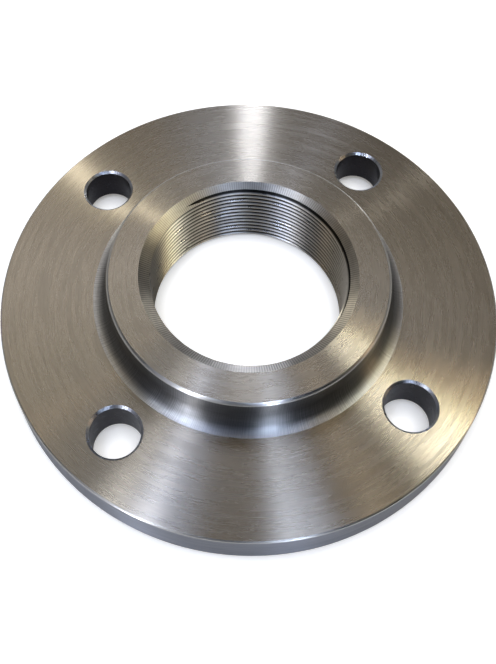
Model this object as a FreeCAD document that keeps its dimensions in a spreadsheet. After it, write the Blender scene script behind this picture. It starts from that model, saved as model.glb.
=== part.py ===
import FreeCAD, Part
import Sketcher
import os

# Threaded flange of the short-hub kind, DN 65 for PN 16, with a 2 1/2 inch pipe thread.
# It is one steel forging, turned all over and drilled, so it is one body.
# The origin is the middle of the joint face that it rests on, and Z runs up the bore to the hub.
# The bore is plain here, at the size that the crests of its thread leave open.

doc = FreeCAD.newDocument("threaded_flange")
sheet = doc.addObject("Spreadsheet::Sheet", "sizes")

# Driving dimensions, in millimetres and degrees, then the sizes worked out from them
rows = [
    ("flangeDiameter", "185", "outside of the plate"),
    ("flangeThickness", "18", "plate with its raised face"),
    ("raisedFaceDiameter", "122", "joint face under the plate"),
    ("raisedFaceHeight", "2", "step from the joint face to the back of the plate"),
    ("hubDiameter", "104", "hub on the plate"),
    ("overallHeight", "32", "joint face to hub face"),
    ("hubRootRadius", "6", "hollow corner between hub and plate"),
    ("threadMajor", "75.184", "2 1/2 inch pipe thread, over its roots"),
    ("threadPitch", "2.309", "11 threads to the inch"),
    ("threadDepthRatio", "0.6403", "depth of a 55 degree thread for each unit of pitch"),
    ("mouthDiameter", "80.4", "lead-in cone, where it meets the hub face"),
    ("mouthAngle", "30", "slope of that cone from the hub face"),
    ("exitBreak", "1.2", "lead-in at the joint face"),
    ("boltCircle", "145", "circle through the bolt holes' axes"),
    ("boltHole", "18", "bolt hole for M16"),
    ("boltCount", "4", "bolt holes, astride the X and Y axes"),
    ("holeBreak", "0.9", "edge break at both ends of a bolt hole"),
    ("rimBreak", "0.6", "edge break round the plate and the raised face"),
    ("hubBreak", "1", "edge break round the hub face"),
    ("boreRadius", "=threadMajor / 2 - threadDepthRatio * threadPitch", "inside the thread's crests"),
    ("mouthDepth", "=(mouthDiameter / 2 - boreRadius) * tan(mouthAngle * 1 deg)", "lead-in cone along the bore"),
    ("holeRadius", "=boltHole / 2", "wall of a bolt hole from its own axis"),
    ("sinkRadius", "=holeRadius + 2 * holeBreak", "where the edge break's cone ends, clear of the plate"),
    ("firstHoleAngle", "=180 / boltCount", "half the spacing, so that the axes pass between holes"),
]
for number, (alias, content, note) in enumerate(rows, start=1):
    sheet.set("A%d" % number, alias)
    sheet.set("B%d" % number, content)
    sheet.set("C%d" % number, note)
    sheet.setAlias("B%d" % number, alias)
doc.recompute()

body = doc.addObject("PartDesign::Body", "flange")
body.Label = "flange"


# An outline on the XZ plane from its corners: a name, the distance out and the height of each,
# written as expressions of the sheet's sizes
def closedOutline(name, corners):
    sketch = body.newObject("Sketcher::SketchObject", name)
    plane = next(item for item in body.Origin.OriginFeatures if item.Role == "XZ_Plane")
    sketch.AttachmentSupport = [(plane, "")]
    sketch.MapMode = "FlatFace"
    places = [
        FreeCAD.Vector(float(sketch.evalExpression(out)), float(sketch.evalExpression(up)), 0)
        for corner, out, up in corners
    ]
    for place, following in zip(places, places[1:] + places[:1]):
        sketch.addGeometry(Part.LineSegment(place, following), False)
    for index, (corner, out, up) in enumerate(corners):
        previous = (index - 1) % len(corners)
        sketch.addConstraint(Sketcher.Constraint("Coincident", previous, 2, index, 1))
        distance = sketch.addConstraint(Sketcher.Constraint("DistanceX", -1, 1, index, 1, places[index].x))
        sketch.renameConstraint(distance, corner + "Out")
        sketch.setExpression("Constraints." + corner + "Out", out)
        if up == "0":
            sketch.addConstraint(Sketcher.Constraint("PointOnObject", index, 1, -1))
            continue
        distance = sketch.addConstraint(Sketcher.Constraint("DistanceY", -1, 1, index, 1, places[index].y))
        sketch.renameConstraint(distance, corner + "Up")
        sketch.setExpression("Constraints." + corner + "Up", up)
    return sketch


# The names of the edges that run round the flange's axis at a diameter and a height
def roundEdges(feature, diameter, height):
    names = []
    for number, edge in enumerate(feature.Shape.Edges, start=1):
        if not isinstance(edge.Curve, Part.Circle):
            continue
        middle = edge.Curve.Center
        reach = FreeCAD.Vector(middle.x, middle.y, middle.z - height).Length
        if reach < 0.001 and abs(2 * edge.Curve.Radius - diameter) < 0.001:
            names.append("Edge%d" % number)
    return names


# Turned section with sharp corners: joint face, plate, hub, and the bore with its two lead-ins
section = closedOutline("section", [
    ("exitEdge", "sizes.boreRadius + sizes.exitBreak", "0"),
    ("faceEdge", "sizes.raisedFaceDiameter / 2", "0"),
    ("faceStep", "sizes.raisedFaceDiameter / 2", "sizes.raisedFaceHeight"),
    ("rimBack", "sizes.flangeDiameter / 2", "sizes.raisedFaceHeight"),
    ("rimFront", "sizes.flangeDiameter / 2", "sizes.flangeThickness"),
    ("hubFoot", "sizes.hubDiameter / 2", "sizes.flangeThickness"),
    ("hubTop", "sizes.hubDiameter / 2", "sizes.overallHeight"),
    ("mouthEdge", "sizes.mouthDiameter / 2", "sizes.overallHeight"),
    ("mouthEnd", "sizes.boreRadius", "sizes.overallHeight - sizes.mouthDepth"),
    ("exitEnd", "sizes.boreRadius", "sizes.exitBreak"),
])
turned = body.newObject("PartDesign::Revolution", "turned")
turned.Profile = section
turned.ReferenceAxis = (section, ["V_Axis"])
turned.Angle = 360
doc.recompute()

# The hollow corner that carries the hub's side out into the plate
hubRoot = body.newObject("PartDesign::Fillet", "hubRoot")
hubRoot.Base = (turned, roundEdges(turned, sheet.hubDiameter, sheet.flangeThickness))
hubRoot.setExpression("Radius", "sizes.hubRootRadius")
doc.recompute()

# Broken edges round the plate, on both sides, and round the raised face
rimBreak = body.newObject("PartDesign::Chamfer", "rimBreak")
rimBreak.Base = (
    hubRoot,
    roundEdges(hubRoot, sheet.flangeDiameter, sheet.flangeThickness)
    + roundEdges(hubRoot, sheet.flangeDiameter, sheet.raisedFaceHeight)
    + roundEdges(hubRoot, sheet.raisedFaceDiameter, 0),
)
rimBreak.setExpression("Size", "sizes.rimBreak")
doc.recompute()

# Broken edge round the hub face
hubBreak = body.newObject("PartDesign::Chamfer", "hubBreak")
hubBreak.Base = (rimBreak, roundEdges(rimBreak, sheet.hubDiameter, sheet.overallHeight))
hubBreak.setExpression("Size", "sizes.hubBreak")
doc.recompute()

# A bolt hole with both edges broken, cut round its own axis. The outline passes the plate's faces
# on the slope of the edge breaks, then runs clear of whatever stands beside the hole.
holeSection = closedOutline("holeSection", [
    ("axisBack", "sizes.boltCircle / 2", "0"),
    ("clearBack", "sizes.boltCircle / 2 + sizes.sinkRadius", "0"),
    ("sinkBack", "sizes.boltCircle / 2 + sizes.sinkRadius", "sizes.raisedFaceHeight - sizes.holeBreak"),
    ("wallBack", "sizes.boltCircle / 2 + sizes.holeRadius", "sizes.raisedFaceHeight + sizes.holeBreak"),
    ("wallFront", "sizes.boltCircle / 2 + sizes.holeRadius", "sizes.flangeThickness - sizes.holeBreak"),
    ("sinkFront", "sizes.boltCircle / 2 + sizes.sinkRadius", "sizes.flangeThickness + sizes.holeBreak"),
    ("clearFront", "sizes.boltCircle / 2 + sizes.sinkRadius", "sizes.overallHeight"),
    ("axisFront", "sizes.boltCircle / 2", "sizes.overallHeight"),
])
axisFoot = FreeCAD.Vector(sheet.boltCircle / 2, 0, 0)
axisHead = FreeCAD.Vector(sheet.boltCircle / 2, sheet.overallHeight, 0)
holeAxis = holeSection.addGeometry(Part.LineSegment(axisFoot, axisHead), True)
holeSection.addConstraint(Sketcher.Constraint("Coincident", holeAxis, 1, 0, 1))
holeSection.addConstraint(Sketcher.Constraint("Coincident", holeAxis, 2, 7, 1))
holeSection.AttachmentOffset = FreeCAD.Placement(
    FreeCAD.Vector(0, 0, 0), FreeCAD.Rotation(FreeCAD.Vector(0, 1, 0), sheet.firstHoleAngle))
holeSection.setExpression("AttachmentOffset.Rotation.Angle", "sizes.firstHoleAngle * 1 deg")
firstHole = body.newObject("PartDesign::Groove", "firstHole")
firstHole.Profile = holeSection
firstHole.ReferenceAxis = (holeSection, ["Axis0"])
firstHole.Angle = 360
doc.recompute()

boltHoles = body.newObject("PartDesign::PolarPattern", "boltHoles")
boltHoles.Originals = [firstHole]
boltHoles.Axis = (section, ["V_Axis"])
boltHoles.Angle = 360
boltHoles.setExpression("Occurrences", "sizes.boltCount")
body.Tip = boltHoles
doc.recompute()

# Nothing is written unless every feature worked and the flange is one sound solid
for item in doc.Objects:
    if "Invalid" in item.State or "Error" in item.State:
        raise RuntimeError("%s failed: %s" % (item.Name, item.State))
if not (turned.Shape.Volume > body.Shape.Volume and len(body.Shape.Solids) == 1):
    raise RuntimeError("the bolt holes were not cut")
if body.Shape.isNull() or not body.Shape.isValid():
    raise RuntimeError("the flange is not a sound solid")

os.makedirs("parts", exist_ok=True)
body.Shape.exportStep("parts/%s.step" % body.Label)
print("flange: volume %.0f mm3, box %s" % (body.Shape.Volume, body.Shape.BoundBox))
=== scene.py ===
import bpy
from math import cos, hypot, pi, radians, sin, tan
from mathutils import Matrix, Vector


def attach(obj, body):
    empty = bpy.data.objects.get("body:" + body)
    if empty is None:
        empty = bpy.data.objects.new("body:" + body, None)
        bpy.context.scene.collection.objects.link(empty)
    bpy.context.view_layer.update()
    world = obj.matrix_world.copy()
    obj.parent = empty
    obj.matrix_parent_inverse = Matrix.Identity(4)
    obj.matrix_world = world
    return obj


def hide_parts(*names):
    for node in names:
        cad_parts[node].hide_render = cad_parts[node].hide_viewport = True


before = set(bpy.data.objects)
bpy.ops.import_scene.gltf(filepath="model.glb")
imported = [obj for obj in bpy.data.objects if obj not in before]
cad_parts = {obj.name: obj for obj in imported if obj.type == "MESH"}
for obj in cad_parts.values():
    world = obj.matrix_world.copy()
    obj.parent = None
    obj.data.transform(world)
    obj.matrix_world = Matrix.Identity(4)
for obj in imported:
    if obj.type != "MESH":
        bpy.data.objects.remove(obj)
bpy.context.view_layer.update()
millimetre = 0.001
print("frame loaded:", sorted(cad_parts))


# sRGB hex to the linear colour that Blender's sockets take
def linearColor(hexCode):
    parts = [int(hexCode[i:i + 2], 16) / 255 for i in (1, 3, 5)]
    linear = [part / 12.92 if part <= 0.04045 else ((part + 0.055) / 1.055) ** 2.4 for part in parts]
    return (*linear, 1.0)


# One node with its settings, input values and links
def addNode(tree, kind, values=None, links=None, **settings):
    node = tree.nodes.new(kind)
    for name, value in settings.items():
        setattr(node, name, value)
    for socket, value in (values or {}).items():
        node.inputs[socket].default_value = value
    for socket, source in (links or {}).items():
        tree.links.new(source, node.inputs[socket])
    return node


# Stainless steel 1.4301 from the lathe. The tool leaves fine rings, so light spreads across them
# and stays narrow along them: bright spokes over a satin, slightly warm grey.
turnedSteel = {
    "color": "#B5AA99",
    "roughness": 0.27,
    "roughnessSpread": 0.15,    # by this share, from pass to pass
    "anisotropy": 1.0,
    "feedMm": 0.45,             # a tool feed of 0.2 mm, drawn about twice as coarse so that it shows
    "passMm": 1.7,              # slow drift of the rings' tone from pass to pass
    "arcsAround": 10.0,         # how often a ring's tone changes on its way round
    "passArcsAround": 3.5,      # and how often the drift does
    "waver": 0.015,             # radians that the marks stray from true circles
    "ringShare": 0.75,          # how much of the tone and relief the rings make
    "passShare": 0.25,          # and how much the drift does
    "ringDepthMm": 0.0003,
    "toneSpread": 0.16,
    "toneRise": 0.6,            # a bright ring stands out less than a dark one, by this share
    "noiseSpan": (0.3, 0.7),    # where nearly all of a noise's values lie
}

# Marks across the rings, in patches round the axis
tickMarks = {
    "slant": 250.0,             # radians of phase to the metre across the rings
    "patchScale": 2.2,
    "patchSpan": (0.35, 0.6),   # the patches' noise, from the faintest marks to the full ones
    "faintest": 0.3,
}

# Small dark specks, in loose groups
pits = {
    "sizeMm": 1.0,
    "groupMm": 30.0,
    "groupSpan": (0.45, 0.75),
    "rarity": (0.9, 0.74),      # the noise at which a speck begins, between the groups and inside them
    "edge": 0.03,               # and how much further on it is at its darkest
    "tone": 0.45,
}

# Where the bolt holes' axes are, for their rings here and for the drill further down
boltCircleRadius = 72.5
firstHoleAngle = 45.0
holeFromAxesMm = boltCircleRadius * cos(radians(firstHoleAngle))


# The part of every turned finish that follows an axis: the way round, the distance across the rings
# and two layers of ring noise. The axis is the bore's, or each bolt hole's own.
def addRings(tree, finish, roundHoles):
    place = addNode(tree, "ShaderNodeTexCoord").outputs["Object"]
    if roundHoles:
        quarter = addNode(tree, "ShaderNodeVectorMath", links={0: place}, operation="SIGN")
        offset = holeFromAxesMm * millimetre
        centre = addNode(tree, "ShaderNodeVectorMath", values={1: (offset, offset, 0)},
                         links={0: quarter.outputs[0]}, operation="MULTIPLY")
        place = addNode(tree, "ShaderNodeVectorMath", links={0: place, 1: centre.outputs[0]},
                        operation="SUBTRACT").outputs[0]
    split = addNode(tree, "ShaderNodeSeparateXYZ", links={0: place})
    flat = addNode(tree, "ShaderNodeCombineXYZ", links={0: split.outputs[0], 1: split.outputs[1]})
    reach = addNode(tree, "ShaderNodeVectorMath", links={0: flat.outputs[0]}, operation="LENGTH")
    outward = addNode(tree, "ShaderNodeVectorMath", links={0: flat.outputs[0]}, operation="NORMALIZE")
    across = addNode(tree, "ShaderNodeMath", links={0: reach.outputs["Value"], 1: split.outputs[2]},
                     operation="SUBTRACT")
    around = addNode(tree, "ShaderNodeVectorMath", values={0: (0, 0, 1)}, links={1: outward.outputs[0]},
                     operation="CROSS_PRODUCT")
    grains = [
        (finish["feedMm"], finish["arcsAround"]),
        (finish["passMm"], finish["passArcsAround"]),
    ]
    layers = []
    for pitch, arcs in grains:
        step = addNode(tree, "ShaderNodeMath", values={1: 1000 / pitch}, links={0: across.outputs[0]},
                       operation="MULTIPLY")
        turn = addNode(tree, "ShaderNodeVectorMath", values={"Scale": arcs}, links={0: outward.outputs[0]},
                       operation="SCALE")
        noise = addNode(tree, "ShaderNodeTexNoise", values={"Scale": 1.0, "Detail": 2.0, "Roughness": 0.6},
                        links={"Vector": turn.outputs[0], "W": step.outputs[0]}, noise_dimensions="4D")
        layers.append(noise.outputs["Fac"])
    stray = addNode(tree, "ShaderNodeMapRange",
                    values={"To Min": -finish["waver"], "To Max": finish["waver"]},
                    links={"Value": layers[0]})
    lean = addNode(tree, "ShaderNodeVectorMath", links={0: outward.outputs[0], "Scale": stray.outputs[0]},
                   operation="SCALE")
    tangent = addNode(tree, "ShaderNodeVectorMath", links={0: around.outputs[0], 1: lean.outputs[0]},
                      operation="ADD")
    tangent = addNode(tree, "ShaderNodeVectorTransform", links={0: tangent.outputs[0]},
                      vector_type="VECTOR", convert_from="OBJECT", convert_to="WORLD")
    return {
        "place": place,
        "x": split.outputs[0],
        "y": split.outputs[1],
        "reach": reach.outputs["Value"],
        "outward": outward.outputs[0],
        "across": across.outputs[0],
        "tangent": tangent.outputs[0],
        "fine": layers[0],
        "drift": layers[1],
    }


# Ticks across the rings, so many round the axis: even where the tool sang, uneven where they are
# scratches. On an even set they fade towards the back, and painted shade darkens the metal at the front.
def addTicks(tree, finish, ticks, rings, tone, normal):
    angle = addNode(tree, "ShaderNodeMath", links={0: rings["y"], 1: rings["x"]}, operation="ARCTAN2")
    slant = addNode(tree, "ShaderNodeMath", values={1: tickMarks["slant"]}, links={0: rings["across"]},
                    operation="MULTIPLY")
    phase = addNode(tree, "ShaderNodeMath", values={1: float(ticks["count"])},
                    links={0: angle.outputs[0], 2: slant.outputs[0]}, operation="MULTIPLY_ADD")
    low, high = tickMarks["patchSpan"]
    patch = addNode(tree, "ShaderNodeTexNoise", values={"Scale": tickMarks["patchScale"], "Detail": 2.0},
                    links={"Vector": rings["outward"]})
    weight = addNode(tree, "ShaderNodeMapRange",
                     values={"From Min": low, "From Max": high,
                             "To Min": tickMarks["faintest"], "To Max": 1.0},
                     links={"Value": patch.outputs["Fac"]})
    if ticks["even"]:
        wave = addNode(tree, "ShaderNodeMath", links={0: phase.outputs[0]}, operation="SINE")
        reach = ticks["fadeMm"] * millimetre
        fade = addNode(tree, "ShaderNodeMapRange",
                       values={"From Min": -reach, "From Max": reach,
                               "To Min": 1.0, "To Max": ticks["backWeight"]},
                       links={"Value": rings["y"]})
        weight = addNode(tree, "ShaderNodeMath", links={0: weight.outputs[0], 1: fade.outputs[0]},
                         operation="MULTIPLY")
        # painted shade: the cone's colour darker towards the front
        front, inside = (edge * millimetre for edge in ticks["frontShadeMm"])
        frontShade = addNode(tree, "ShaderNodeMapRange",
                       values={"From Min": front, "From Max": inside,
                               "To Min": ticks["frontShadeTone"], "To Max": 1.0},
                       links={"Value": rings["y"]})
        tone = addNode(tree, "ShaderNodeMath", links={0: tone, 1: frontShade.outputs[0]},
                       operation="MULTIPLY").outputs[0]
    else:
        low, high = finish["noiseSpan"]
        marks = addNode(tree, "ShaderNodeTexNoise", values={"Scale": 1.0, "Detail": 2.0},
                        links={"W": phase.outputs[0]}, noise_dimensions="1D")
        wave = addNode(tree, "ShaderNodeMapRange",
                       values={"From Min": low, "From Max": high, "To Min": -1.0, "To Max": 1.0},
                       links={"Value": marks.outputs["Fac"]})
    height = addNode(tree, "ShaderNodeMath", links={0: wave.outputs[0], 1: weight.outputs[0]},
                     operation="MULTIPLY")
    shade = addNode(tree, "ShaderNodeMapRange",
                    values={"From Min": -1.0, "From Max": 1.0,
                            "To Min": 1 - ticks["spread"], "To Max": 1 + ticks["spread"]},
                    links={"Value": height.outputs[0]})
    tone = addNode(tree, "ShaderNodeMath", links={0: tone, 1: shade.outputs[0]}, operation="MULTIPLY")
    bump = addNode(tree, "ShaderNodeBump",
                   values={"Strength": 1.0, "Distance": ticks["depthMm"] * millimetre},
                   links={"Height": height.outputs[0], "Normal": normal})
    return tone.outputs[0], bump.outputs[0]


def addPits(tree, rings, tone):
    specks = addNode(tree, "ShaderNodeTexNoise", values={"Scale": 1000 / pits["sizeMm"], "Detail": 1.0},
                     links={"Vector": rings["place"]})
    groups = addNode(tree, "ShaderNodeTexNoise", values={"Scale": 1000 / pits["groupMm"], "Detail": 0.0},
                     links={"Vector": rings["place"]})
    low, high = pits["groupSpan"]
    outside, inside = pits["rarity"]
    limit = addNode(tree, "ShaderNodeMapRange",
                    values={"From Min": low, "From Max": high, "To Min": outside, "To Max": inside},
                    links={"Value": groups.outputs["Fac"]})
    excess = addNode(tree, "ShaderNodeMath", links={0: specks.outputs["Fac"], 1: limit.outputs[0]},
                     operation="SUBTRACT")
    hollow = addNode(tree, "ShaderNodeMapRange",
                     values={"From Min": 0.0, "From Max": pits["edge"],
                             "To Min": 1.0, "To Max": pits["tone"]},
                     links={"Value": excess.outputs[0]})
    tone = addNode(tree, "ShaderNodeMath", links={0: tone, 1: hollow.outputs[0]}, operation="MULTIPLY")
    return tone.outputs[0]


# Painted shade: darkens the metal's colour from one distance off the axis to another
def addPaintedShade(tree, paintedShade, rings, tone):
    unshaded, dark = (edge * millimetre for edge in paintedShade["fromToMm"])
    shadeFactor = addNode(tree, "ShaderNodeMapRange",
                    values={"From Min": unshaded, "From Max": dark, "To Min": 1.0, "To Max": paintedShade["tone"]},
                    links={"Value": rings["reach"]})
    tone = addNode(tree, "ShaderNodeMath", links={0: tone, 1: shadeFactor.outputs[0]}, operation="MULTIPLY")
    return tone.outputs[0]


# A metal with ringed grain: its tone, roughness and relief come from the ring noise. What a zone of the
# flange changes in the turned finish is given after its name.
def turnedMaterial(name, changes, ticks=None, pitted=False, paintedShade=None, roundHoles=False):
    finish = {**turnedSteel, **changes}
    material = bpy.data.materials.new(name)
    material.use_nodes = True
    tree = material.node_tree
    tree.nodes.clear()
    rings = addRings(tree, finish, roundHoles)
    low, high = finish["noiseSpan"]
    fine = addNode(tree, "ShaderNodeMath", values={1: finish["ringShare"]}, links={0: rings["fine"]},
                   operation="MULTIPLY")
    both = addNode(tree, "ShaderNodeMath", values={1: finish["passShare"]},
                   links={0: rings["drift"], 2: fine.outputs[0]}, operation="MULTIPLY_ADD")
    darkest = 1 - finish["toneSpread"]
    brightest = 1 + finish["toneSpread"] * finish["toneRise"]
    tone = addNode(tree, "ShaderNodeMapRange",
                   values={"From Min": low, "From Max": high, "To Min": darkest, "To Max": brightest},
                   links={"Value": both.outputs[0]}).outputs[0]
    normal = addNode(tree, "ShaderNodeBump",
                     values={"Strength": 1.0, "Distance": finish["ringDepthMm"] * millimetre},
                     links={"Height": both.outputs[0]}).outputs[0]
    if ticks:
        tone, normal = addTicks(tree, finish, ticks, rings, tone, normal)
    if pitted:
        tone = addPits(tree, rings, tone)
    # painted shade, darker from one distance off the axis to another
    if paintedShade:
        tone = addPaintedShade(tree, paintedShade, rings, tone)
    base = addNode(tree, "ShaderNodeVectorMath", values={0: linearColor(finish["color"])[:3]},
                   links={"Scale": tone}, operation="SCALE")
    smoothest = finish["roughness"] * (1 - finish["roughnessSpread"])
    roughest = finish["roughness"] * (1 + finish["roughnessSpread"])
    rough = addNode(tree, "ShaderNodeMapRange",
                    values={"From Min": low, "From Max": high, "To Min": smoothest, "To Max": roughest},
                    links={"Value": rings["drift"]})
    shader = addNode(tree, "ShaderNodeBsdfPrincipled",
                     values={"Metallic": 1.0, "Anisotropic": finish["anisotropy"],
                             "Anisotropic Rotation": 0.25},
                     links={"Base Color": base.outputs[0], "Roughness": rough.outputs[0],
                            "Normal": normal, "Tangent": rings["tangent"]})
    addNode(tree, "ShaderNodeOutputMaterial", links={"Surface": shader.outputs[0]})
    return material


# plate and hub face: the plain turned finish, with a few specks
faceSteel = turnedMaterial("turned_stainless_face", {}, pitted=True)
# rim of the plate, and the low wall round the joint face: coarser, less glossy lines, and a colour darker and
# bluer than the face's steel, which is painted shade
rimSteel = turnedMaterial(
    "turned_stainless_rim",
    {"color": "#7C7D82", "roughness": 0.42, "anisotropy": 0.9, "feedMm": 1.1, "arcsAround": 5.0,
     "passArcsAround": 1.75, "ringDepthMm": 0.002, "toneSpread": 0.288})
# hollow corner, burnished by the round tool, with fine scratches down its hollow: bright at its foot,
# and painted shade darkens it up the hub
filletSteel = turnedMaterial(
    "burnished_stainless_fillet",
    {"color": "#D2CFCA", "roughness": 0.34, "anisotropy": 0.97, "ringDepthMm": 0.0},
    ticks={"count": 220, "even": False, "depthMm": 0.005, "spread": 0.5},
    paintedShade={"fromToMm": (57.6, 54.2), "tone": 0.3})
# lead-in cone: the tool sang here and left even ticks, and painted shade darkens its front
mouthSteel = turnedMaterial(
    "chattered_stainless_cone",
    {"color": "#ADA598", "roughness": 0.33, "anisotropy": 0.62, "ringDepthMm": 0.0},
    ticks={"count": 280, "even": True, "depthMm": 0.012, "spread": 0.5, "fadeMm": 30.0, "backWeight": 0.7,
           "frontShadeMm": (-38.0, -25.0), "frontShadeTone": 0.58})
# thread, cut smoothly: bright crests, and painted shade, near black, in the roots
threadSteel = turnedMaterial(
    "cut_stainless_thread",
    {"color": "#D0C9BD", "roughness": 0.3, "anisotropy": 0.82, "waver": 0.004, "ringDepthMm": 0.0,
     "toneSpread": 0.016},
    paintedShade={"fromToMm": (36.15, 36.8), "tone": 0.03})
# bolt holes: walls near black, which is painted shade, with rings round their own axes, and a bright cut edge
drilledSteel = turnedMaterial(
    "drilled_stainless_wall",
    {"color": "#2E2C30", "roughness": 0.3, "anisotropy": 0.6, "ringDepthMm": 0.004, "toneSpread": 0.32},
    roundHoles=True)
sunkSteel = turnedMaterial(
    "countersunk_stainless_edge",
    {"color": "#C4C4C6", "roughness": 0.3, "anisotropy": 0.7, "ringDepthMm": 0.002, "toneSpread": 0.128},
    ticks={"count": 40, "even": False, "depthMm": 0.01, "spread": 0.4}, roundHoles=True)
# edges broken with a smooth tool, so that they show as thin bright lines
edgeSteel = turnedMaterial(
    "broken_stainless_edge",
    {"color": "#BFBCB6", "roughness": 0.3, "anisotropy": 0.5, "waver": 0.004, "ringDepthMm": 0.0,
     "toneSpread": 0.048})
# joint face: the grooves are in the mesh, so the finish between them is plainer
jointSteel = turnedMaterial(
    "serrated_stainless_joint_face",
    {"roughness": 0.34, "anisotropy": 0.7, "ringDepthMm": 0.004})
print("materials made")


weldReach = 1e-6                # metres between points that are one


# A single vertex in edit mode, at a distance out and a height in millimetres
def startOutline(name, out, up):
    bpy.ops.object.select_all(action="DESELECT")
    bpy.ops.mesh.primitive_plane_add(size=0.01, location=(0, 0, 0))
    piece = bpy.context.object
    piece.name = name
    piece.data.name = name
    bpy.ops.object.mode_set(mode="EDIT")
    bpy.ops.mesh.select_mode(type="VERT")
    bpy.ops.mesh.merge(type="CENTER")
    bpy.ops.transform.translate(value=(out * millimetre, 0, up * millimetre))
    return piece


# The outline is drawn by extruding its last vertex from corner to corner
def drawOutline(name, corners):
    piece = startOutline(name, *corners[0])
    for (out, up), (nextOut, nextUp) in zip(corners, corners[1:]):
        step = ((nextOut - out) * millimetre, 0, (nextUp - up) * millimetre)
        bpy.ops.mesh.extrude_region_move(TRANSFORM_OT_translate={"value": step})
    return piece


# Rounds one corner of the outline before it is turned
def roundCorner(piece, out, up, size, segments, profile):
    bpy.ops.mesh.select_all(action="DESELECT")
    bpy.ops.object.mode_set(mode="OBJECT")
    corner = Vector((out * millimetre, 0, up * millimetre))
    for vertex in piece.data.vertices:
        vertex.select = (vertex.co - corner).length < weldReach
    bpy.ops.object.mode_set(mode="EDIT")
    bpy.ops.mesh.bevel(offset=size * millimetre, offset_type="OFFSET", segments=segments, profile=profile,
                       affect="VERTICES")


# Spins the outline into a closed shell round the upright axis
def turnOutline(steps):
    bpy.ops.mesh.select_all(action="SELECT")
    bpy.ops.mesh.remove_doubles(threshold=weldReach)
    bpy.ops.mesh.spin(steps=steps, angle=2 * pi, center=(0, 0, 0), axis=(0, 0, 1))
    bpy.ops.mesh.select_all(action="SELECT")
    bpy.ops.mesh.remove_doubles(threshold=weldReach)
    bpy.ops.mesh.normals_make_consistent(inside=False)
    bpy.ops.object.mode_set(mode="OBJECT")


def applyModifier(piece, kind, **settings):
    modifier = piece.modifiers.new(kind.lower(), kind)
    for name, value in settings.items():
        setattr(modifier, name, value)
    bpy.ops.object.select_all(action="DESELECT")
    piece.select_set(True)
    bpy.context.view_layer.objects.active = piece
    bpy.ops.object.modifier_apply(modifier=modifier.name)


# Flange, in millimetres and degrees
flange = {
    "rimRadius": 92.5,
    "backHeight": 2.0,
    "plateHeight": 18.0,
    "faceRadius": 61.0,
    "hubRadius": 52.0,
    "hubHeight": 32.0,
    "filletRadius": 6.0,
    "filletSegments": 16,
    "filletProfile": 0.5,       # a true arc
    "rimBreak": 0.6,
    "hubBreak": 1.0,
    "breakSegments": 4,
    "breakProfile": 0.35,       # flatter than an arc
    "boreRadius": 36.1135,
    "mouthRadius": 40.2,
    "mouthAngle": 30.0,
    "exitBreak": 1.2,
    "steps": 192,
    "grooves": 26,
    "groovePitch": 0.8,
    "grooveDepth": 0.05,
    "grooveMargin": 1.6,        # plain band between the last groove and the edge of the joint face
    "smoothAngle": 28.0,
}


# The section is drawn corner by corner, its corners are rounded, and it is spun round the bore
def turnFlange(sizes):
    mouthDepth = (sizes["mouthRadius"] - sizes["boreRadius"]) * tan(radians(sizes["mouthAngle"]))
    mouthFoot = (sizes["boreRadius"], sizes["hubHeight"] - mouthDepth)
    corners = [
        mouthFoot,
        (sizes["boreRadius"], sizes["exitBreak"]),
        (sizes["boreRadius"] + sizes["exitBreak"], 0),
    ]
    # the joint face's serration, as concentric grooves
    first = sizes["faceRadius"] - sizes["grooveMargin"] - sizes["grooves"] * sizes["groovePitch"]
    for groove in range(sizes["grooves"]):
        inner = first + groove * sizes["groovePitch"]
        corners += [(inner, 0), (inner + sizes["groovePitch"] / 2, sizes["grooveDepth"])]
    corners += [
        (first + sizes["grooves"] * sizes["groovePitch"], 0),
        (sizes["faceRadius"], 0),
        (sizes["faceRadius"], sizes["backHeight"]),
        (sizes["rimRadius"], sizes["backHeight"]),
        (sizes["rimRadius"], sizes["plateHeight"]),
        (sizes["hubRadius"], sizes["plateHeight"]),
        (sizes["hubRadius"], sizes["hubHeight"]),
        (sizes["mouthRadius"], sizes["hubHeight"]),
        mouthFoot,
    ]
    piece = drawOutline("turned_flange", corners)
    broken = [
        (sizes["faceRadius"], 0, sizes["rimBreak"]),
        (sizes["rimRadius"], sizes["backHeight"], sizes["rimBreak"]),
        (sizes["rimRadius"], sizes["plateHeight"], sizes["rimBreak"]),
        (sizes["hubRadius"], sizes["hubHeight"], sizes["hubBreak"]),
    ]
    for out, up, size in broken:
        roundCorner(piece, out, up, size, sizes["breakSegments"], sizes["breakProfile"])
    roundCorner(piece, sizes["hubRadius"], sizes["plateHeight"], sizes["filletRadius"],
                sizes["filletSegments"], sizes["filletProfile"])
    turnOutline(sizes["steps"])
    return piece


body = turnFlange(flange)
print("flange turned:", len(body.data.polygons), "faces")

# Drill with a countersink at both ends, copied to the four holes
drill = {
    "circleRadius": boltCircleRadius,
    "radius": 9.0,
    "break": 0.9,
    "count": 4,
    "firstAngle": firstHoleAngle,
    "steps": 72,
}

# How far a sloping face looks up or down, between a wall's 0 and a flat's 1
slopeRange = (0.1, 0.95)


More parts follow.
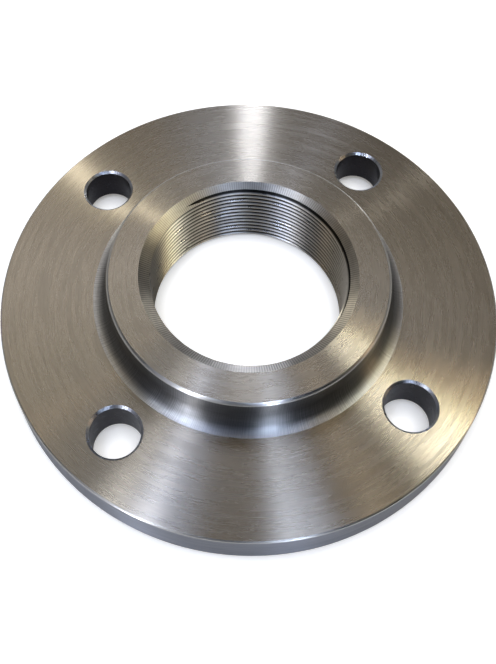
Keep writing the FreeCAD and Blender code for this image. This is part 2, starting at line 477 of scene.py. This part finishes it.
def makeDrills(sizes, back, front):
    wide = sizes["radius"] + 2 * sizes["break"]
    corners = [
        (0, back - sizes["break"]),
        (wide, back - sizes["break"]),
        (sizes["radius"], back + sizes["break"]),
        (sizes["radius"], front - sizes["break"]),
        (wide, front + sizes["break"]),
        (0, front + sizes["break"]),
    ]
    piece = drawOutline("drill", corners)
    turnOutline(sizes["steps"])
    piece.data.materials.append(drilledSteel)
    piece.data.materials.append(sunkSteel)
    least, most = slopeRange
    for face in piece.data.polygons:
        face.material_index = int(least < abs(face.normal.z) < most)
    drills = []
    reach = sizes["circleRadius"] * millimetre
    for number in range(sizes["count"]):
        angle = radians(sizes["firstAngle"] + 360 / sizes["count"] * number)
        copy = piece.copy()
        copy.data = piece.data.copy()
        bpy.context.collection.objects.link(copy)
        copy.location = (reach * cos(angle), reach * sin(angle), 0)
        drills.append(copy)
    bpy.data.objects.remove(piece)
    return drills


# The thread's ridge as the tap cuts it: 2 1/2 inch pipe thread, 11 turns to the inch, 55 degree flanks
thread = {
    "rootRadius": 37.592,
    "pitch": 2.309,
    "rootRound": 0.317,
    "flankAngle": 27.5,
    "rootSteps": 4,
    "innerRadius": 35.9,
    "start": -3.6,
    "turns": 16,
    "steps": 192,
    "turn": 0.7,                # degrees, so that its rings of vertices miss those of the bore
}


def makeTap(sizes):
    middle = sizes["pitch"] / 2
    steepest = 90 - sizes["flankAngle"]
    corners = []
    for step in range(sizes["rootSteps"] + 1):
        lean = radians(steepest * (2 * step / sizes["rootSteps"] - 1))
        out = sizes["rootRadius"] - sizes["rootRound"] * (1 - cos(lean))
        corners.append((out, middle + sizes["rootRound"] * sin(lean)))
    tipOut, tipUp = corners[-1]
    foot = tipUp + (tipOut - sizes["innerRadius"]) * tan(radians(sizes["flankAngle"]))
    corners = [(sizes["innerRadius"], 2 * middle - foot)] + corners + [(sizes["innerRadius"], foot)]
    corners.append(corners[0])
    piece = drawOutline("tap", [(out, up + sizes["start"]) for out, up in corners])
    bpy.ops.mesh.select_all(action="SELECT")
    bpy.ops.mesh.remove_doubles(threshold=weldReach)
    bpy.ops.object.mode_set(mode="OBJECT")
    applyModifier(piece, "SCREW", angle=2 * pi, screw_offset=sizes["pitch"] * millimetre,
                  iterations=sizes["turns"], steps=sizes["steps"], render_steps=sizes["steps"], axis="Z",
                  use_merge_vertices=False)
    bpy.ops.object.mode_set(mode="EDIT")
    bpy.ops.mesh.select_all(action="SELECT")
    bpy.ops.mesh.fill_holes(sides=0)
    bpy.ops.mesh.select_all(action="SELECT")
    bpy.ops.mesh.normals_make_consistent(inside=False)
    bpy.ops.transform.rotate(value=radians(sizes["turn"]), orient_axis="Z", center_override=(0, 0, 0))
    bpy.ops.object.mode_set(mode="OBJECT")
    piece.data.materials.append(threadSteel)
    return piece


def cutAway(piece, tool):
    applyModifier(piece, "BOOLEAN", operation="DIFFERENCE", solver="EXACT", object=tool,
                  material_mode="TRANSFER")
    bpy.data.objects.remove(tool)


# The finish of each zone of the turned body
zoneSteel = {
    "face": faceSteel,
    "rim": rimSteel,
    "fillet": filletSteel,
    "mouth": mouthSteel,
    "joint": jointSteel,
    "edge": edgeSteel,
}


levelReach = 0.001              # millimetres within which two heights count as one


# The zone of the turned body that a face lies in, by the place of its middle and by its slope
def zoneOf(face, sizes):
    out = hypot(face.center.x, face.center.y) / millimetre
    up = face.center.z / millimetre
    slope = abs(face.normal.z)
    least, most = slopeRange
    onRim = out > sizes["rimRadius"] - sizes["rimBreak"]
    onHub = up > sizes["hubHeight"] - sizes["hubBreak"] and out > sizes["mouthRadius"]
    if (onRim or onHub) and least < slope < most:
        return "edge"
    if out > sizes["faceRadius"] - sizes["rimBreak"] and up < sizes["plateHeight"] and slope < most:
        return "rim"
    if out < sizes["mouthRadius"]:
        return "mouth"
    if sizes["plateHeight"] + levelReach < up < sizes["hubHeight"] - levelReach:
        return "fillet"
    return "joint" if up < sizes["grooveDepth"] else "face"


def dressFlange(piece, sizes):
    zones = list(zoneSteel)
    for zone in zones:
        piece.data.materials.append(zoneSteel[zone])
    for face in piece.data.polygons:
        face.material_index = zones.index(zoneOf(face, sizes))


dressFlange(body, flange)
for tool in makeDrills(drill, flange["backHeight"], flange["plateHeight"]):
    cutAway(body, tool)
print("bolt holes drilled:", len(body.data.polygons), "faces")
cutAway(body, makeTap(thread))
print("thread cut:", len(body.data.polygons), "faces")

bpy.ops.object.select_all(action="DESELECT")
body.select_set(True)
bpy.context.view_layer.objects.active = body
bpy.ops.object.shade_smooth_by_angle(angle=radians(flange["smoothAngle"]))
applyModifier(body, "WEIGHTED_NORMAL", mode="FACE_AREA", weight=80, keep_sharp=True)

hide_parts("flange")
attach(body, "root")

# Floor: matt white paper that the camera and the metal see paler than the lamps make it, with the
# flange's own soft shadow on it, and painted shade round the foot of its rim that dims its glow there
floorSheet = {
    "size": 6.0,
    "height": -0.0002,          # just under the joint face
    "color": "#EAE6DE",
    "seenLift": 0.92,
    "mirroredLift": 0.35,
    "paintedShadeMm": 7.0,            # how far the painted shade under the rim reaches
}
bpy.ops.object.select_all(action="DESELECT")
bpy.ops.mesh.primitive_plane_add(size=floorSheet["size"], location=(0, 0, floorSheet["height"]))
floor = bpy.context.object
floor.name = "floor_sheet"
bpy.ops.object.transform_apply(location=True, rotation=True, scale=True)
paper = bpy.data.materials.new("matt_white_paper")
paper.use_nodes = True
tree = paper.node_tree
tree.nodes.clear()
matt = addNode(tree, "ShaderNodeBsdfDiffuse", values={"Color": linearColor(floorSheet["color"])})
path = addNode(tree, "ShaderNodeLightPath")
mirrored = addNode(tree, "ShaderNodeMath",
                   links={0: path.outputs["Is Glossy Ray"], 1: path.outputs["Is Transmission Ray"]},
                   operation="MAXIMUM")
mirrored = addNode(tree, "ShaderNodeMath", values={1: floorSheet["mirroredLift"]},
                   links={0: mirrored.outputs[0]}, operation="MULTIPLY")
lift = addNode(tree, "ShaderNodeMath", values={1: floorSheet["seenLift"]},
               links={0: path.outputs["Is Camera Ray"], 2: mirrored.outputs[0]}, operation="MULTIPLY_ADD")
# painted shade: the paper's glow dimmed where the flange stands close
corner = addNode(tree, "ShaderNodeAmbientOcclusion",
                 values={"Distance": floorSheet["paintedShadeMm"] * millimetre}, samples=8)
lift = addNode(tree, "ShaderNodeMath", links={0: lift.outputs[0], 1: corner.outputs["AO"]},
               operation="MULTIPLY")
glow = addNode(tree, "ShaderNodeEmission", links={"Strength": lift.outputs[0]})
total = addNode(tree, "ShaderNodeAddShader", links={0: matt.outputs[0], 1: glow.outputs[0]})
addNode(tree, "ShaderNodeOutputMaterial", links={"Surface": total.outputs[0]})
floor.data.materials.append(paper)

# Room: soft glows on otherwise dark walls, each a way to it as azimuth and elevation in degrees, how
# tight it is, a strength and a colour. Azimuth 0 is on the camera's side, counted anticlockwise from above.
room = {
    "back_wall": {
        "azimuth": 205, "elevation": 52, "tightness": 60, "strength": 1.4, "color": "#FAFAFF"},
    "back_wall_top": {
        "azimuth": 210, "elevation": 70, "tightness": 60, "strength": 0.34, "color": "#C8DFFF"},
    "back_wall_left": {
        "azimuth": 225, "elevation": 62, "tightness": 60, "strength": 0.64, "color": "#FFF1C9"},
    "back_wall_middle": {
        "azimuth": 187, "elevation": 52, "tightness": 60, "strength": 0.2, "color": "#FFF1D7"},
    "back_wall_right": {
        "azimuth": 155, "elevation": 60, "tightness": 60, "strength": 0.24, "color": "#F0F6FF"},
    "back_wall_right_top": {
        "azimuth": 160, "elevation": 68, "tightness": 60, "strength": 0.34, "color": "#FFE3B4"},
    "front_left_wall": {
        "azimuth": -45, "elevation": 30, "tightness": 20, "strength": 0.9, "color": "#E0E6FF"},
}
# pale lower walls behind the flange, which only low views mirror
lowWall = {"elevation": 8, "tightness": 20, "strength": 0.3, "color": "#EEF0F6"}
for azimuth in range(90, 271, 30):
    room["low_wall_%d" % azimuth] = {**lowWall, "azimuth": azimuth}


# The unit way from the flange to something in the room
def wayTo(azimuth, elevation):
    turn, rise = radians(azimuth), radians(elevation)
    return Vector((sin(turn) * cos(rise), -cos(turn) * cos(rise), sin(rise)))


world = bpy.data.worlds.new("studio_room")
bpy.context.scene.world = world
world.use_nodes = True
tree = world.node_tree
tree.nodes.clear()
look = addNode(tree, "ShaderNodeTexCoord").outputs["Generated"]
walls = None
for wall in room.values():
    toward = wayTo(wall["azimuth"], wall["elevation"])
    near = addNode(tree, "ShaderNodeVectorMath", values={1: toward}, links={0: look}, operation="DOT_PRODUCT")
    near = addNode(tree, "ShaderNodeMath", values={1: 0.0}, links={0: near.outputs["Value"]},
                   operation="MAXIMUM")
    near = addNode(tree, "ShaderNodeMath", values={1: wall["tightness"]}, links={0: near.outputs[0]},
                   operation="POWER")
    color = [part * wall["strength"] for part in linearColor(wall["color"])[:3]]
    part = addNode(tree, "ShaderNodeVectorMath", values={0: color}, links={"Scale": near.outputs[0]},
                   operation="SCALE")
    if walls:
        part = addNode(tree, "ShaderNodeVectorMath", links={0: walls, 1: part.outputs[0]}, operation="ADD")
    walls = part.outputs[0]
# straight at the camera the walls are white, as the floor is
seen = addNode(tree, "ShaderNodeLightPath").outputs["Is Camera Ray"]
walls = addNode(tree, "ShaderNodeVectorMath", links={0: walls, 1: seen}, operation="ADD").outputs[0]
sky = addNode(tree, "ShaderNodeBackground", links={"Color": walls})
addNode(tree, "ShaderNodeOutputWorld", links={"Surface": sky.outputs[0]})

# Lamps: each is a place as azimuth, elevation and distance in metres, a size in metres, a power in watts
# and a colour
lamps = {
    "back_strip": {
        "azimuth": 171.5, "elevation": 43, "distance": 0.35,
        "width": 0.02, "height": 0.3, "power": 0.036, "color": "#D9E6FF"},
    "back_low_lamp": {
        "azimuth": 172.4, "elevation": 19.5, "distance": 0.875,
        "width": 0.07, "height": 0.08, "power": 1.55, "color": "#DBE6FF"},
    "back_high_lamp": {
        "azimuth": 175.5, "elevation": 57, "distance": 0.788,
        "width": 0.04, "height": 0.08, "power": 0.03, "color": "#C2D8FF"},
    "back_left_lamp": {
        "azimuth": 202.9, "elevation": 31.6, "distance": 0.867,
        "width": 0.04, "height": 0.08, "power": 0.407, "color": "#FFFDF0"},
    "back_right_strip": {
        "azimuth": 140, "elevation": 12, "distance": 1,
        "width": 0.06, "height": 0.2, "power": 0.352, "color": "#FCFFFF"},
    "right_warm_lamp": {
        "azimuth": 73, "elevation": 20, "distance": 0.8,
        "width": 0.06, "height": 0.3, "power": 0.25, "color": "#FFDDB0"},
    "right_near_spot": {
        "azimuth": 101, "elevation": 64, "distance": 0.35,
        "width": 0.03, "height": 0.05, "power": 0.0845, "color": "#FCFFF6"},
    "right_high_lamp": {
        "azimuth": 96.2, "elevation": 54.9, "distance": 0.842,
        "width": 0.04, "height": 0.08, "power": 0.199, "color": "#F7FFCE"},
    "right_bore_lamp": {
        "azimuth": 97.6, "elevation": 52.6, "distance": 0.6,
        "width": 0.1, "height": 0.1, "power": 0.1, "color": "#FFE0B3"},
    "left_side_lamp": {
        "azimuth": 255, "elevation": 58, "distance": 0.8,
        "width": 0.05, "height": 0.08, "power": 0.031, "color": "#FFDFBB"},
    "left_near_spot": {
        "azimuth": 296, "elevation": 64, "distance": 0.35,
        "width": 0.03, "height": 0.05, "power": 0.062, "color": "#EAF2FF"},
    "left_high_lamp": {
        "azimuth": -64.2, "elevation": 74, "distance": 0.831,
        "width": 0.04, "height": 0.08, "power": 0.364, "color": "#BFD2FF"},
    "front_left_window": {
        "azimuth": -39, "elevation": 43, "distance": 0.35,
        "width": 0.02, "height": 0.05, "power": 0.175, "color": "#E4EEFF"},
    "front_left_low_window": {
        "azimuth": -39, "elevation": 8, "distance": 0.5,
        "width": 0.04, "height": 0.08, "power": 0.48, "color": "#E2EAFF"},
    "front_left_high_window": {
        "azimuth": -57.5, "elevation": 73, "distance": 0.356,
        "width": 0.02, "height": 0.12, "power": 0.05, "color": "#B4CCFF"},
    "front_right_window": {
        "azimuth": 8.5, "elevation": 43, "distance": 0.35,
        "width": 0.02, "height": 0.05, "power": 0.185, "color": "#CCDEFF"},
    "front_right_low_window": {
        "azimuth": 8.5, "elevation": 8, "distance": 0.5,
        "width": 0.04, "height": 0.08, "power": 0.3, "color": "#D0E0FF"},
    "front_right_side_lamp": {
        "azimuth": 60, "elevation": 66, "distance": 0.8,
        "width": 0.12, "height": 0.08, "power": 0.14, "color": "#FFF4E0"},
    "front_right_high_window": {
        "azimuth": 33.3, "elevation": 74, "distance": 0.356,
        "width": 0.02, "height": 0.12, "power": 0.08, "color": "#BDD3FF"},
}
for name, lamp in lamps.items():
    way = wayTo(lamp["azimuth"], lamp["elevation"])
    light = bpy.data.lights.new(name, "AREA")
    light.shape = "RECTANGLE"
    light.size = lamp["width"]
    light.size_y = lamp["height"]
    light.energy = lamp["power"]
    light.color = linearColor(lamp["color"])[:3]
    holder = bpy.data.objects.new(name, light)
    bpy.context.collection.objects.link(holder)
    holder.location = way * lamp["distance"]
    holder.rotation_euler = way.to_track_quat("Z", "Y").to_euler()

# Camera, from the ellipses of the photograph: its place in millimetres and its turn in degrees
photoCamera = {
    "place": (-24.61, -168.64, 316.53),
    "turn": (35.007, 0.438, -5.059),
    "lens": 49.30,
    "shift": (0.0482, -0.1913),
    "clipStart": 0.01,
}
cameraData = bpy.data.cameras.new("photo_camera")
cameraData.lens = photoCamera["lens"]
cameraData.shift_x, cameraData.shift_y = photoCamera["shift"]
cameraData.clip_start = photoCamera["clipStart"]
camera = bpy.data.objects.new("photo_camera", cameraData)
bpy.context.collection.objects.link(camera)
camera.location = Vector(photoCamera["place"]) * millimetre
camera.rotation_euler = [radians(angle) for angle in photoCamera["turn"]]
bpy.context.scene.camera = camera
bpy.context.scene.view_settings.view_transform = "Standard"
print("floor, room, lamps and camera set")
